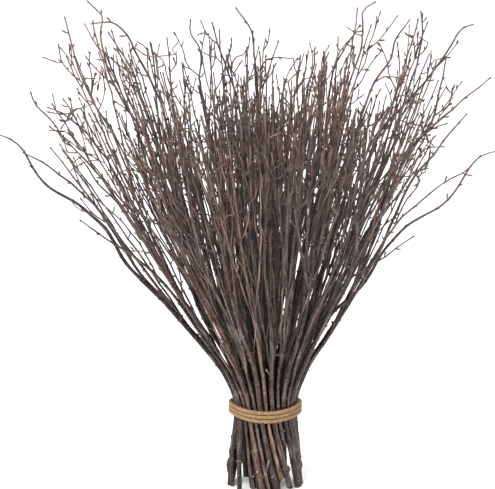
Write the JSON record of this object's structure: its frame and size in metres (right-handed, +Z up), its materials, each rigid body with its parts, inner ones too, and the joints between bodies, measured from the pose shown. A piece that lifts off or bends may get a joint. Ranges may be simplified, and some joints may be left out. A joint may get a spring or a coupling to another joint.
{
  "type": "bundle of twigs",
  "caption": "Tied bundle of bare, dark brown branching twigs that fan out above a jute rope tie and stand upright on their splayed cut ends.",
  "frame": {"origin": "middle of the central twig's cut end, on the surface that the bundle stands on", "axes": "+Z up along the bundle, -Y towards the front that the picture shows, +X to the right in that view"},
  "size_m": [0.4329, 0.2928, 0.4314],
  "materials": {
    "bark": "dark grey-brown bark with a dull sheen, paler on worn ridges and at the cut ends",
    "jute": "tan three-ply jute rope, rough, with loose fibres"
  },
  "bodies": {
    "root": {"twig_01": "bark", "twig_02": "bark", "twig_03": "bark", "twig_04": "bark", "twig_05": "bark", "twig_06": "bark", "twig_07": "bark", "twig_08": "bark", "twig_09": "bark", "twig_10": "bark", "twig_11": "bark", "twig_12": "bark", "twig_13": "bark", "twig_14": "bark", "twig_15": "bark", "twig_16": "bark", "twig_17": "bark", "twig_18": "bark", "twig_19": "bark", "twig_20": "bark", "twig_21": "bark", "twig_22": "bark", "twig_23": "bark", "twig_24": "bark", "twig_25": "bark", "twig_26": "bark", "twig_27": "bark", "twig_28": "bark", "twig_29": "bark", "twig_30": "bark", "twig_31": "bark", "twig_32": "bark", "twig_33": "bark", "twig_34": "bark", "twig_35": "bark", "twig_36": "bark", "twig_37": "bark", "twig_38": "bark", "twig_39": "bark", "twig_40": "bark", "twig_41": "bark", "twig_42": "bark", "twig_43": "bark", "twig_44": "bark", "twig_45": "bark", "twig_46": "bark", "twig_47": "bark", "twig_48": "bark", "twig_49": "bark", "twig_50": "bark", "twig_51": "bark", "twig_52": "bark", "twig_53": "bark", "twig_54": "bark", "twig_55": "bark", "twig_56": "bark", "twig_57": "bark", "twig_58": "bark", "tie": "jute"}
  },
  "joints": []
}
